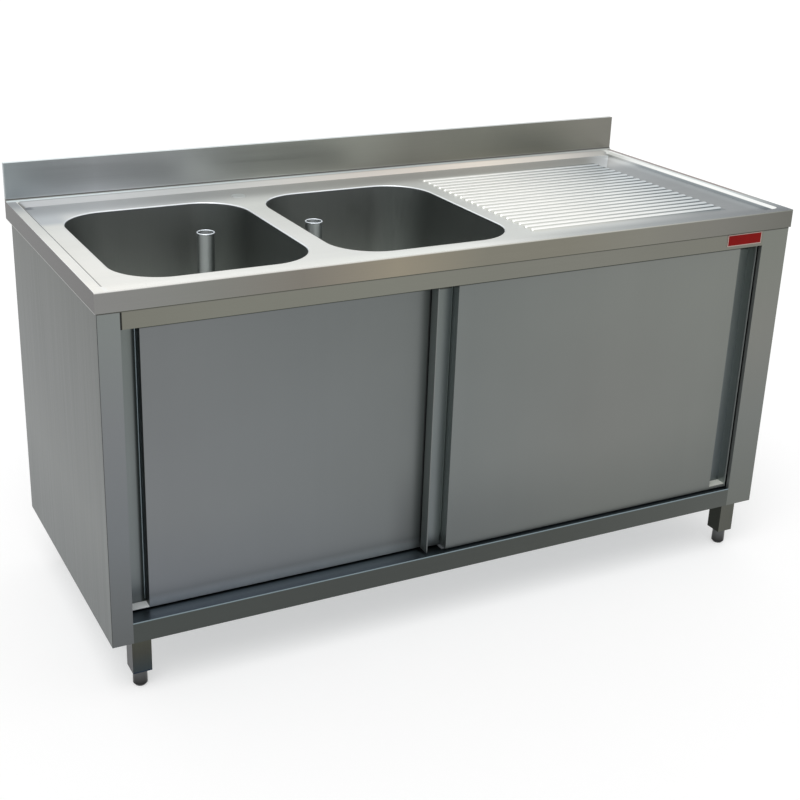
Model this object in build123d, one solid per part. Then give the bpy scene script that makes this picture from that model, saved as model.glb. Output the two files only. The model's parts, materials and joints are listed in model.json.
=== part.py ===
from build123d import *
import os

# Kitchen sink unit in stainless steel: a pressed worktop with two bowls and a
# ribbed drainer, on a cupboard with two sliding doors and four screw feet.
# Millimetres, +Z up. The origin is on the floor, in the middle of the footprint.
# The front looks along -Y, and the bowls are on the left, at -X.

# ---------------------------------------------------------------- driving sizes
unit_width = 1600.0          # worktop, end to end
unit_depth = 700.0           # worktop, front to back
worktop_height = 854.0       # floor to the worktop's rim
upstand_height = 85.0        # splashback above the rim
upstand_thickness = 12.0
cove_radius = 8.0            # round at the splashback's foot
deck_sheet = 1.5             # worktop sheet
panel_sheet = 1.2            # cabinet, door and bowl sheet

# worktop: rim, pressed deck and apron
apron_height = 40.0
rim_width = 21.0             # flat rim outside the pressed deck
press_run = 10.0             # slope from rim to deck, seen from above
rear_press_run = 20.0        # the same slope at the back
deck_drop = 9.0              # deck below the rim
press_corner = 14.0          # corner radius of the pressed deck

# bowls
bowl_width = 410.0           # over the rolled edge
bowl_depth = 250.0           # deck to bowl floor
bowl_corner = 106.0
bowl_front_margin = 67.0     # worktop's front edge to the bowls
bowl_rear_ledge = 125.0      # bowls to the worktop's rear edge
left_bowl_margin = 71.0      # worktop's left end to the left bowl
bowl_gap = 44.0              # deck between the two bowls
roll_radius = 3.0            # rolled edge of each bowl opening
roll_height = 6.0            # rolled edge, top to bottom
roll_land = 2.0              # deck thickened outside the roll
roll_trim = 0.2              # flat left between the roll and its inner wall
bowl_flange = 8.0            # bowl flange outside the opening
bowl_draft = 9.0             # how far each wall leans in at the floor
bowl_floor_radius = 42.0

# drainer
rib_count = 20
rib_width = 12.0
rib_height = 2.6
rib_slope = 40.0             # degrees that a rib's sides lean in
rib_from_bowl = 32.0         # right bowl to the ribs
rib_end_margin = 121.0       # ribs to the worktop's right end
first_rib = 99.0             # worktop's front edge to the first rib
last_rib = 130.0             # last rib to the worktop's rear edge
board_thickness = 15.0       # damping board glued under the drainer
board_margin = 30.0          # bowl opening to the board
board_end_margin = 40.0      # worktop's right end to the board
board_front_margin = 78.0
board_rear_margin = 80.0

# tap hole with its blanking plug
tap_hole_radius = 14.0
tap_hole_behind_bowl = 17.0
plug_cap_overlap = 2.0
plug_cap_height = 1.5
plug_nut_width = 5.0
plug_nut_height = 4.0
plug_stem_length = 16.0

# wastes and standpipes
waste_from_side = 106.0      # the bowl's edge by the other bowl to the waste
waste_from_rear = 115.0
waste_flange_radius = 36.0
waste_flange_height = 3.0
waste_shank_radius = 24.6    # through the bowl, the seal and the nut
waste_tail_radius = 23.9     # outlet below the nut, 1 1/2 inch pipe thread
waste_tail_length = 48.0
waste_bore_radius = 16.5
waste_seal_height = 3.0
waste_seal_radius = 33.0
waste_nut_height = 12.0
waste_nut_radius = 32.0
waste_nut_slot = 6.0         # width of the spanner slots
standpipe_radius = 19.0
standpipe_wall = 1.2
standpipe_seat = 18.0        # how deep the standpipe stands in the waste
standpipe_below_rim = 46.0   # worktop's rim to the standpipe's top
standpipe_bead = 1.5         # radius of the rolled top

# cabinet
cabinet_bottom = 128.0       # floor to the panels' lower edge
cabinet_inset = 3.0          # panels behind the apron's faces
rear_overhang = 40.0         # worktop behind the cabinet
left_flange = 43.0           # front face of the left panel
right_flange = 72.0
jamb_return = 9.0            # edges turned in beside and above the doors
panel_hem = 15.0             # top, bottom and rear edges turned in
shelf_fold = 45.0            # height of the shelf's front edge
shelf_return = 15.0
fascia_height = 36.0         # front top rail below the apron
rear_rail_height = 60.0
rear_rail_flange = 30.0
pipe_opening_width = 420.0   # hole in the back panel for the pipes
pipe_opening_height = 140.0
pipe_opening_rise = 227.0    # shelf to that hole
stiffener_width = 60.0
stiffener_height = 24.0
stiffener_flange = 18.0
stiffener_end_gap = 90.0

# name plate on the front top rail
plate_width = 95.0
plate_height = 26.0
plate_thickness = 1.0
plate_from_flange = 6.0
plate_above_edge = 7.0

# legs and screw feet
leg_size = 40.0
leg_wall = 1.5
leg_bottom = 38.0
leg_setback = 29.0           # from the cabinet's front and rear faces
left_leg_inset = 47.0        # from the cabinet's ends
right_leg_inset = 18.0
insert_height = 30.0
foot_radius = 15.0
foot_sole_radius = 11.0
foot_chamfer = 5.0
foot_barrel = 12.0
foot_neck_radius = 14.6
foot_taper_top = 30.0
foot_neck_top = 94.0

# sliding doors
door_overlap = 163.0         # how far the closed doors lie one behind the other
door_thickness = 25.5
door_below_rim = 60.0        # worktop's rim to the doors' top
door_floor_gap = 3.0
door_setback = 11.0          # front door's face behind the cabinet's front
door_gap = 4.0               # between the two doors
left_door_start = 42.0       # cabinet's left end to the left door
right_door_end = 75.0        # cabinet's right end to the right door
door_stop_gap = 10.0         # open left door to the right jamb
pull_width = 48.0            # finger channel at each end of a door
lip_thickness = 2.4
pull_foot_rise = 7.0
guide_channel_height = 16.0
guide_slot = 6.0
guide_slot_roof = 3.0

# door track, rollers and guide
track_plate = 2.5
track_web = 2.0
track_lip = 12.0
track_lip_thickness = 2.5
track_depth = 58.0           # worktop's front edge to the track plate's rear edge
track_web_offset = 2.0       # door's face to the web
roller_radius = 12.0
roller_width = 8.0
roller_gap = 2.0             # web to roller
roller_inset = 110.0         # door's end to the roller's axle
axle_radius = 3.0
axle_head_radius = 4.5
axle_head = 1.2
hanger_thickness = 3.0
hanger_width = 60.0
hanger_gap = 4.0             # roller to hanger plate
hanger_above_axle = 9.0
rail_above_door = 12.0       # door's top to the lip the rollers run on
stop_length = 12.0
stop_height = 11.0
guide_length = 40.0
guide_plate_length = 80.0
guide_plate_thickness = 1.5
guide_fin_height = 9.0       # fin above the door's lower edge
screw_radius = 2.5
screw_head_radius = 4.5
screw_head = 2.8
screw_length = 10.0
screw_spread = 20.0
screw_forward = 1.5          # screws in front of the door's middle

# clearances
slide_clearance = 0.3        # sliding and lift-out pieces
running_clearance = 0.05     # roller on its axle
stop_clearance = 0.5         # roller to its buffer at the end of travel
thread_clearance = 0.15
overcut = 1.0                # how far a cut runs past the piece it goes through

# ---------------------------------------------------------------- worked-out places
left, right = -unit_width / 2, unit_width / 2
front, back = -unit_depth / 2, unit_depth / 2
rim_under = worktop_height - deck_sheet
deck_top = worktop_height - deck_drop
deck_under = deck_top - deck_sheet
apron_bottom = worktop_height - apron_height
upstand_top = worktop_height + upstand_height
upstand_face = back - upstand_thickness

cab_left, cab_right = left + cabinet_inset, right - cabinet_inset
cab_front, cab_back = front + cabinet_inset, back - rear_overhang
left_jamb = cab_left + left_flange
right_jamb = cab_right - right_flange
shelf_top = cabinet_bottom + shelf_fold
shelf_under = shelf_top - panel_sheet
fascia_bottom = apron_bottom - fascia_height
back_panel_rear = cab_back - panel_sheet
back_panel_front = back_panel_rear - panel_sheet

bowl_length = unit_depth - bowl_front_margin - bowl_rear_ledge
roll_bottom = deck_top - roll_height
bowl_floor = deck_top - bowl_depth
bowl_y = front + bowl_front_margin + bowl_length / 2
bowl_centres = {
    "left": left + left_bowl_margin + bowl_width / 2,
    "right": left + left_bowl_margin + 1.5 * bowl_width + bowl_gap,
}
waste_side = {"left": 1, "right": -1}    # each waste is on the side of the other bowl
waste_y = bowl_y + bowl_length / 2 - waste_from_rear
standpipe_bottom = bowl_floor + waste_flange_height - standpipe_seat
standpipe_top = worktop_height - standpipe_below_rim
between_bowls = (bowl_centres["left"] + bowl_centres["right"]) / 2
tap_y = bowl_y + bowl_length / 2 + tap_hole_behind_bowl
waste_seal_bottom = bowl_floor - panel_sheet - waste_seal_height
waste_nut_bottom = waste_seal_bottom - waste_nut_height

drainer_left = bowl_centres["right"] + bowl_width / 2
rib_left = drainer_left + rib_from_bowl
rib_length = right - rib_end_margin - rib_left
rib_pitch = (unit_depth - first_rib - last_rib) / (rib_count - 1)

rear_rail_bottom = deck_under - rear_rail_height
pipe_opening_bottom = shelf_top + pipe_opening_rise

front_face = cab_front + door_setback
rear_face = front_face + door_thickness + door_gap
door_bottom = shelf_top + door_floor_gap
door_top = worktop_height - door_below_rim
door_width = (cab_right - right_door_end - cab_left - left_door_start + door_overlap) / 2
door_travel = right_jamb - door_stop_gap - (cab_left + left_door_start + door_width)
doors = {   # name: left end, front face, travel along X
    "left": (cab_left + left_door_start, rear_face, door_travel),
    "right": (cab_right - right_door_end - door_width, front_face, -door_travel),
}
rail_top = door_top + rail_above_door
axle_height = rail_top + roller_radius + slide_clearance
roller_front = track_web_offset + track_web + roller_gap
roller_rear = roller_front + roller_width
hanger_front = roller_rear + hanger_gap
hanger_rear = hanger_front + hanger_thickness
guide_x = (doors["right"][0] + doors["left"][0] + door_width) / 2


# ---------------------------------------------------------------- shapes
def block(x0, x1, y0, y1, z0, z1):
    """A box between two corners."""
    middle = Pos((x0 + x1) / 2, (y0 + y1) / 2, (z0 + z1) / 2)
    return middle * Box(x1 - x0, y1 - y0, z1 - z0)


def disc(x, y, radius, z0, z1):
    """An upright cylinder between two heights."""
    return Pos(x, y, (z0 + z1) / 2) * Cylinder(radius, z1 - z0)


def bar(x, z, radius, y0, y1):
    """A cylinder along Y between two depths."""
    return Pos(x, (y0 + y1) / 2, z) * Rot(90, 0, 0) * Cylinder(radius, y1 - y0)


def rounded(x0, x1, y0, y1, z, radius):
    """A rectangle with round corners, at one height."""
    place = Pos((x0 + x1) / 2, (y0 + y1) / 2, z)
    return place * RectangleRounded(x1 - x0, y1 - y0, radius)


def between(lower, upper):
    """The straight-sided solid between two outlines."""
    return loft([lower.face(), upper.face()], ruled=True)


def turned(points):
    """A solid turned about Z from a closed outline of radius and height pairs."""
    outline = make_face(Plane.XZ * Polyline(*points, close=True))
    return revolve(outline, axis=Axis.Z)


def save(name, *solids):
    """Write one piece, or a group of like pieces, to its own file."""
    shape = solids[0] if len(solids) == 1 else Compound(children=list(solids))
    export_step(shape, f"parts/{name}.step")


# ---------------------------------------------------------------- worktop
def deck_pressing(grow, sink):
    """The tray pressed into the worktop, grown sideways and sunk for its underside."""
    inner = rim_width + press_run
    upper = rounded(left + rim_width - grow, right - rim_width + grow,
                    front + rim_width - grow, upstand_face - cove_radius + grow,
                    worktop_height, press_corner + grow)
    lower = rounded(left + inner - grow, right - inner + grow,
                    front + inner - grow, upstand_face - cove_radius - rear_press_run + grow,
                    deck_top - sink, press_corner + grow)
    return between(lower, upper)


def bowl_outline(centre_x, grow, z):
    """The bowl opening's wall line, grown by a distance."""
    half_width = bowl_width / 2 - roll_radius + grow
    half_length = bowl_length / 2 - roll_radius + grow
    return rounded(centre_x - half_width, centre_x + half_width,
                   bowl_y - half_length, bowl_y + half_length, z,
                   bowl_corner - roll_radius + grow)


def bowl_roll(centre_x):
    """The rolled edge that joins the deck to one bowl."""
    land = bowl_outline(centre_x, roll_radius + roll_land, roll_bottom)
    ring = extrude(land, roll_height)
    ring -= extrude(bowl_outline(centre_x, 0, roll_bottom), roll_height)
    brim = ring.faces().sort_by(Axis.Z)[-1].inner_wires()[0].edges()
    return fillet(brim, roll_radius - roll_trim)


def drainer_ribs():
    """Raised ribs along the drainer."""
    rib = extrude(SlotOverall(rib_length, rib_width), rib_height, taper=rib_slope)
    return [Pos(rib_left + rib_length / 2, front + first_rib + index * rib_pitch, deck_top) * rib
            for index in range(rib_count)]


def upstand():
    """The hollow splashback: face, top, back and the cove at its foot."""
    face = block(left, right, upstand_face, upstand_face + deck_sheet, rim_under, upstand_top)
    top = block(left, right, upstand_face, back, upstand_top - deck_sheet, upstand_top)
    rear = block(left, right, back - deck_sheet, back, apron_bottom, upstand_top)
    corner = block(left, right, upstand_face - cove_radius, upstand_face,
                   worktop_height, worktop_height + cove_radius)
    hollow = (Pos(0, upstand_face - cove_radius, worktop_height + cove_radius)
              * Rot(0, 90, 0) * Cylinder(cove_radius, unit_width + 2 * overcut))
    return face + top + rear + (corner - hollow)


def worktop():
    skin = block(left, right, front, back, apron_bottom, worktop_height)
    skin -= block(left + deck_sheet, right - deck_sheet, front + deck_sheet, back - deck_sheet,
                  apron_bottom - overcut, rim_under)
    skin -= block(left + deck_sheet, right - deck_sheet, upstand_face + deck_sheet,
                  back - deck_sheet, rim_under - overcut, worktop_height + overcut)
    skin += deck_pressing(deck_sheet, deck_sheet)
    skin -= deck_pressing(0, 0)
    for centre_x in bowl_centres.values():
        land = bowl_outline(centre_x, roll_radius + roll_land, deck_under - overcut)
        skin -= extrude(land, deck_sheet + 2 * overcut)
        skin += bowl_roll(centre_x)
    skin -= disc(between_bowls, tap_y, tap_hole_radius, deck_under - overcut, deck_top + overcut)
    skin += upstand()
    skin += drainer_ribs()
    return skin


def upstand_end(x0):
    """The plate that closes one end of the splashback."""
    return block(x0, x0 + deck_sheet, upstand_face + deck_sheet, back - deck_sheet,
                 worktop_height, upstand_top - deck_sheet)


def drainer_board():
    """Damping board glued to the drainer's underside."""
    return block(drainer_left + board_margin, right - board_end_margin,
                 front + board_front_margin, back - board_rear_margin,
                 deck_under - board_thickness, deck_under)


# ---------------------------------------------------------------- tap hole
def tap_hole_plug():
    cap = disc(between_bowls, tap_y, tap_hole_radius + plug_cap_overlap,
               deck_top, deck_top + plug_cap_height)
    stem = disc(between_bowls, tap_y, tap_hole_radius - slide_clearance,
                deck_top - plug_stem_length, deck_top)
    return cap + stem


def tap_hole_nut():
    outer = tap_hole_radius + plug_nut_width
    ring = disc(between_bowls, tap_y, outer, deck_under - plug_nut_height, deck_under)
    bore = tap_hole_radius - slide_clearance + thread_clearance
    return ring - disc(between_bowls, tap_y, bore,
                       deck_under - plug_nut_height - overcut, deck_under + overcut)


# ---------------------------------------------------------------- bowls and wastes
def bowl_body(centre_x, grow, floor):
    """One bowl as a solid block: leaning walls and a round floor edge."""
    upper = bowl_outline(centre_x, grow, roll_bottom)
    lower = bowl_outline(centre_x, grow - bowl_draft, floor)
    body = between(lower, upper)
    return fillet(body.edges().group_by(Axis.Z)[0], bowl_floor_radius + grow)


def waste_x(side):
    edge = bowl_centres[side] + waste_side[side] * bowl_width / 2
    return edge - waste_side[side] * waste_from_side


def bowl(side):
    centre_x = bowl_centres[side]
    shell = bowl_body(centre_x, panel_sheet, bowl_floor - panel_sheet)
    flange = bowl_outline(centre_x, roll_radius + bowl_flange, roll_bottom - panel_sheet)
    shell += extrude(flange, panel_sheet)
    shell -= bowl_body(centre_x, 0, bowl_floor)
    return shell - disc(waste_x(side), waste_y, waste_shank_radius + thread_clearance,
                        bowl_floor - panel_sheet - overcut, bowl_floor + overcut)


def waste_body(side):
    """Flange, threaded tail and the seat that holds the standpipe."""
    top = bowl_floor + waste_flange_height
    tail_end = waste_nut_bottom - waste_tail_length
    body = disc(waste_x(side), waste_y, waste_flange_radius, bowl_floor, top)
    body += disc(waste_x(side), waste_y, waste_shank_radius, waste_nut_bottom, bowl_floor)
    body += disc(waste_x(side), waste_y, waste_tail_radius, tail_end, waste_nut_bottom)
    body -= disc(waste_x(side), waste_y, waste_bore_radius,
                 tail_end - overcut, top + overcut)
    return body - disc(waste_x(side), waste_y, standpipe_radius + slide_clearance,
                       standpipe_bottom - slide_clearance, top + overcut)


def ring_on_shank(side, radius, z0, z1):
    """A ring round the waste's threaded shank."""
    ring = disc(waste_x(side), waste_y, radius, z0, z1)
    return ring - disc(waste_x(side), waste_y, waste_shank_radius + thread_clearance,
                       z0 - overcut, z1 + overcut)


def waste_seal(side):
    return ring_on_shank(side, waste_seal_radius, waste_seal_bottom,
                         waste_seal_bottom + waste_seal_height)


def waste_nut(side):
    """Slotted back nut under the bowl."""
    nut = ring_on_shank(side, waste_nut_radius, waste_nut_bottom, waste_seal_bottom)
    slot = Box(2 * (waste_nut_radius + overcut), waste_nut_slot, waste_nut_height / 2)
    for turn in (0, 60, 120):
        nut -= Pos(waste_x(side), waste_y, waste_nut_bottom) * Rot(0, 0, turn) * slot
    return nut


def standpipe(side):
    """Overflow pipe with a rolled top, standing in the waste."""
    inner = standpipe_radius - standpipe_wall
    pipe = turned([(inner, standpipe_bottom), (standpipe_radius, standpipe_bottom),
                   (standpipe_radius, standpipe_top - standpipe_bead),
                   (inner, standpipe_top - standpipe_bead)])
    bead = (Pos(0, 0, standpipe_top - standpipe_bead)
            * Torus(standpipe_radius - standpipe_wall / 2, standpipe_bead))
    return Pos(waste_x(side), waste_y, 0) * (pipe + bead)


# ---------------------------------------------------------------- cabinet
def side_panel(side):
    """A side sheet with its edges turned in, drawn at the left and mirrored if need be."""
    flange = left_flange if side == "left" else right_flange
    x0, t = cab_left, panel_sheet
    panel = block(x0, x0 + t, cab_front, cab_back, cabinet_bottom, rim_under)
    panel += block(x0, x0 + flange, cab_front, cab_front + t, cabinet_bottom, rim_under)
    panel += block(x0 + flange - t, x0 + flange, cab_front, cab_front + jamb_return,
                   cabinet_bottom, rim_under)
    panel += block(x0, x0 + panel_hem, cab_front, cab_back, rim_under - t, rim_under)
    panel += block(x0, x0 + panel_hem, cab_back - t, cab_back, cabinet_bottom, rim_under)
    panel += block(x0, x0 + panel_hem, cab_front, cab_back, cabinet_bottom, cabinet_bottom + t)
    return panel if side == "left" else mirror(panel, Plane.YZ)


def base_shelf():
    """Floor of the cupboard: a sheet with all four edges folded down."""
    t = panel_sheet
    x0, x1 = cab_left + t, cab_right - t
    y1 = back_panel_front
    fold_bottom = cabinet_bottom + t
    shelf = block(x0, x1, cab_front, y1, shelf_under, shelf_top)
    shelf += block(x0, x0 + t, cab_front, y1, fold_bottom, shelf_top)
    shelf += block(x1 - t, x1, cab_front, y1, fold_bottom, shelf_top)
    shelf += block(x0, x1, y1 - t, y1, fold_bottom, shelf_top)
    notch_rear = cab_front + jamb_return + slide_clearance
    for edge, jamb in ((cab_left, left_jamb), (right_jamb, cab_right)):
        shelf -= block(edge, jamb, cab_front - overcut, notch_rear,
                       fold_bottom - overcut, shelf_top + overcut)
    shelf += block(left_jamb, right_jamb, cab_front, cab_front + t, cabinet_bottom, shelf_top)
    shelf += block(left_jamb, right_jamb, cab_front, cab_front + shelf_return,
                   cabinet_bottom, cabinet_bottom + t)
    return shelf


def base_stiffener():
    """Hat section welded lengthwise under the shelf."""
    t = panel_sheet
    x0, x1 = cab_left + stiffener_end_gap, cab_right - stiffener_end_gap
    y0, y1 = -stiffener_width / 2, stiffener_width / 2
    z0 = shelf_under - stiffener_height
    hat = block(x0, x1, y0, y1, z0, z0 + t)
    hat += block(x0, x1, y0, y0 + t, z0, shelf_under)
    hat += block(x0, x1, y1 - t, y1, z0, shelf_under)
    hat += block(x0, x1, y0 - stiffener_flange, y0 + t, shelf_under - t, shelf_under)
    return hat + block(x0, x1, y1 - t, y1 + stiffener_flange, shelf_under - t, shelf_under)


def back_panel():
    panel = block(cab_left + panel_sheet, cab_right - panel_sheet,
                  back_panel_front, back_panel_rear, cabinet_bottom + panel_sheet, rear_rail_bottom)
    half = pipe_opening_width / 2
    return panel - block(between_bowls - half, between_bowls + half,
                         back_panel_front - overcut, back_panel_rear + overcut,
                         pipe_opening_bottom, pipe_opening_bottom + pipe_opening_height)


def rear_top_rail():
    """Angle that carries the worktop along the back."""
    x0, x1 = cab_left + panel_sheet, cab_right - panel_sheet
    web = block(x0, x1, back_panel_front, back_panel_rear, rear_rail_bottom, deck_under)
    return web + block(x0, x1, back_panel_rear - rear_rail_flange, back_panel_rear,
                       deck_under - panel_sheet, deck_under)


def front_top_rail():
    """Rail under the apron, between the side panels' front faces."""
    t = panel_sheet
    rail = block(left_jamb, right_jamb, cab_front, cab_front + t, fascia_bottom, rim_under)
    rail += block(left_jamb, right_jamb, cab_front, cab_front + jamb_return,
                  rim_under - t, rim_under)
    return rail + block(left_jamb, right_jamb, cab_front, cab_front + jamb_return,
                        fascia_bottom, fascia_bottom + t)


def name_plate():
    """Plain plate on the front top rail."""
    x1 = right_jamb - plate_from_flange
    z0 = fascia_bottom + plate_above_edge
    return block(x1 - plate_width, x1, cab_front - plate_thickness, cab_front,
                 z0, z0 + plate_height)


# ---------------------------------------------------------------- legs and feet
def leg_places():
    """Name and centre of each leg."""
    half = leg_size / 2
    columns = {"left": cab_left + left_leg_inset + half, "right": cab_right - right_leg_inset - half}
    rows = {"front": cab_front + leg_setback + half, "rear": cab_back - leg_setback - half}
    return {f"{row}_{column}": (x, y) for row, y in rows.items() for column, x in columns.items()}


def leg(x, y):
    """Square tube from the shelf's underside down to the foot."""
    half, inner = leg_size / 2, leg_size / 2 - leg_wall
    tube = block(x - half, x + half, y - half, y + half, leg_bottom, shelf_under)
    return tube - block(x - inner, x + inner, y - inner, y + inner,
                        leg_bottom - overcut, shelf_under + overcut)


def leg_insert(x, y):
    """Plug in the tube's end that holds the foot's neck."""
    half = leg_size / 2 - leg_wall
    plug = block(x - half, x + half, y - half, y + half, leg_bottom, leg_bottom + insert_height)
    return plug - disc(x, y, foot_neck_radius + slide_clearance,
                       leg_bottom - overcut, leg_bottom + insert_height + overcut)


def foot(x, y):
    """Round screw foot, turned in one piece with its neck."""
    outline = [(0, 0), (foot_sole_radius, 0), (foot_radius, foot_chamfer),
               (foot_radius, foot_barrel), (foot_neck_radius, foot_taper_top),
               (foot_neck_radius, foot_neck_top), (0, foot_neck_top)]
    return Pos(x, y, 0) * turned(outline)


# ---------------------------------------------------------------- doors
def door_inside(side):
    """Ends and faces of the space between a door's two skins."""
    x0, face, _ = doors[side]
    t = panel_sheet
    return (x0 + pull_width + t, x0 + door_width - pull_width - t,
            face + t, face + door_thickness - t)


def finger_channel(x_end, inward, face):
    """Recess at one end of a door: lip, floor and inner wall."""
    rear, t = face + door_thickness, panel_sheet

    def span(a, b, y0, y1):
        xs = sorted((x_end + inward * a, x_end + inward * b))
        return block(xs[0], xs[1], y0, y1, door_bottom, door_top)

    channel = span(0, lip_thickness, face, rear)
    channel += span(0, pull_width + t, rear - t, rear)
    return channel + span(pull_width, pull_width + t, face, rear)


def channel_foot(side):
    """Plate that closes the lower end of a door's outer finger channel."""
    x0, face, _ = doors[side]
    rear, t = face + door_thickness, panel_sheet
    if side == "left":
        return block(x0, x0 + pull_width + t, face, rear, door_bottom, door_bottom + t)
    x1 = x0 + door_width
    plate = block(x1 - pull_width - t, x1, face, rear,
                  door_bottom + pull_foot_rise - t, door_bottom + pull_foot_rise)
    return plate + block(x1 - pull_width - t, x1, face, face + t,
                         door_bottom, door_bottom + pull_foot_rise)


def door_skin(side):
    """Front sheet of a door with a finger channel folded at each end."""
    x0, face, _ = doors[side]
    x1, t = x0 + door_width, panel_sheet
    skin = block(x0 + pull_width, x1 - pull_width, face, face + t, door_bottom, door_top)
    skin += finger_channel(x0, 1, face)
    skin += finger_channel(x1, -1, face)
    return skin + channel_foot(side)


def hanger_centres(side):
    x0, _, _ = doors[side]
    return [x0 + roller_inset, x0 + door_width - roller_inset]


def screw_places(side):
    """Centres of the screws that hold a door's hangers."""
    _, face, _ = doors[side]
    y = face + door_thickness / 2 - screw_forward
    return [(x + offset, y) for x in hanger_centres(side) for offset in (-screw_spread, screw_spread)]


def drilled(shape, side, z0, z1):
    """Take the hanger screws' holes out of a piece."""
    for x, y in screw_places(side):
        shape -= disc(x, y, screw_radius + running_clearance, z0 - overcut, z1 + overcut)
    return shape


def door_liner(side):
    """Rear sheet of a door, folded over its top."""
    x0, x1, y0, y1 = door_inside(side)
    t = panel_sheet
    sheet = block(x0, x1, y1, y1 + t, door_bottom, door_top)
    sheet += drilled(block(x0, x1, y0, y1 + t, door_top - t, door_top), side, door_top - t, door_top)
    return sheet


def door_core(side):
    """Stiff filling between a door's skins."""
    x0, x1, y0, y1 = door_inside(side)
    top = door_top - panel_sheet
    core = block(x0, x1, y0, y1, door_bottom + guide_channel_height, top)
    return drilled(core, side, top - screw_length, top)


def door_guide_channel(side):
    """Grooved strip in a door's lower edge that runs over the guide's fin."""
    x0, x1, y0, y1 = door_inside(side)
    top = door_bottom + guide_channel_height
    middle = (y0 + y1) / 2
    strip = block(x0, x1, y0, y1, door_bottom, top)
    return strip - block(x0 - overcut, x1 + overcut, middle - guide_slot / 2,
                         middle + guide_slot / 2, door_bottom - overcut, top - guide_slot_roof)


def door_hanger(side, x):
    """Angle bracket from a door's top to its roller's axle."""
    _, face, _ = doors[side]
    half, t = hanger_width / 2, hanger_thickness
    base = block(x - half, x + half, face + panel_sheet, face + hanger_rear, door_top, door_top + t)
    base = drilled(base, side, door_top, door_top + t)
    plate = block(x - half / 2, x + half / 2, face + hanger_front, face + hanger_rear,
                  door_top, axle_height + hanger_above_axle)
    return base + plate - bar(x, axle_height, axle_radius, face + hanger_front - overcut,
                              face + hanger_rear + overcut)


def door_axle(side, x):
    """Roller pin with a head in front and a shoulder against the hanger."""
    _, face, _ = doors[side]
    head_rear = face + roller_front - slide_clearance
    axle = bar(x, axle_height, axle_head_radius, head_rear - axle_head, head_rear)
    axle += bar(x, axle_height, axle_radius, head_rear, face + hanger_rear)
    return axle + bar(x, axle_height, axle_head_radius, face + roller_rear + slide_clearance,
                      face + hanger_front)


def door_roller(side, x):
    _, face, _ = doors[side]
    wheel = bar(x, axle_height, roller_radius, face + roller_front, face + roller_rear)
    return wheel - bar(x, axle_height, axle_radius + running_clearance,
                       face + roller_front - overcut, face + roller_rear + overcut)


def hanger_screw(x, y):
    seat = door_top + hanger_thickness
    return (disc(x, y, screw_head_radius, seat, seat + screw_head)
            + disc(x, y, screw_radius, seat - screw_length, seat))


# ---------------------------------------------------------------- track, buffers, guide
def door_track():
    """Double track: a plate under the deck, and for each door a web with a lip."""
    x0, x1 = cab_left + panel_sheet, cab_right - panel_sheet
    plate_bottom = deck_under - track_plate
    track = block(x0, x1, cab_front + panel_sheet, front + track_depth, plate_bottom, deck_under)
    notch = jamb_return + slide_clearance
    for edge, jamb in ((cab_left, left_jamb), (right_jamb, cab_right)):
        track -= block(edge, jamb, cab_front, cab_front + notch,
                       plate_bottom - overcut, deck_under + overcut)
    for face in (front_face, rear_face):
        web = face + track_web_offset
        lip_bottom = rail_top - track_lip_thickness
        track += block(x0, x1, web, web + track_web, lip_bottom, plate_bottom)
        track += block(x0, x1, web, web + track_web + track_lip, lip_bottom, rail_top)
    return track


def track_buffers():
    """Rubber blocks on the lips that stop each door's rollers."""
    reach = roller_radius + stop_clearance
    buffers = []
    for side, (_, face, travel) in doors.items():
        first, last = hanger_centres(side)
        low = first + min(travel, 0) - reach
        high = last + max(travel, 0) + reach
        y0 = face + track_web_offset + track_web
        for x0 in (low - stop_length, high):
            buffers.append(block(x0, x0 + stop_length, y0, y0 + track_lip,
                                 rail_top, rail_top + stop_height))
    return buffers


def door_guide():
    """Fixed guide on the shelf with one fin under each door."""
    y0 = front_face + door_thickness / 2 - guide_slot
    y1 = rear_face + door_thickness / 2 + guide_slot
    half = guide_plate_length / 2
    guide = block(guide_x - half, guide_x + half, y0, y1,
                  shelf_top, shelf_top + guide_plate_thickness)
    thickness = guide_slot - 2 * slide_clearance
    for face in (front_face, rear_face):
        middle = face + door_thickness / 2
        guide += block(guide_x - guide_length / 2, guide_x + guide_length / 2,
                       middle - thickness / 2, middle + thickness / 2,
                       shelf_top, door_bottom + guide_fin_height)
    return guide


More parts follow.
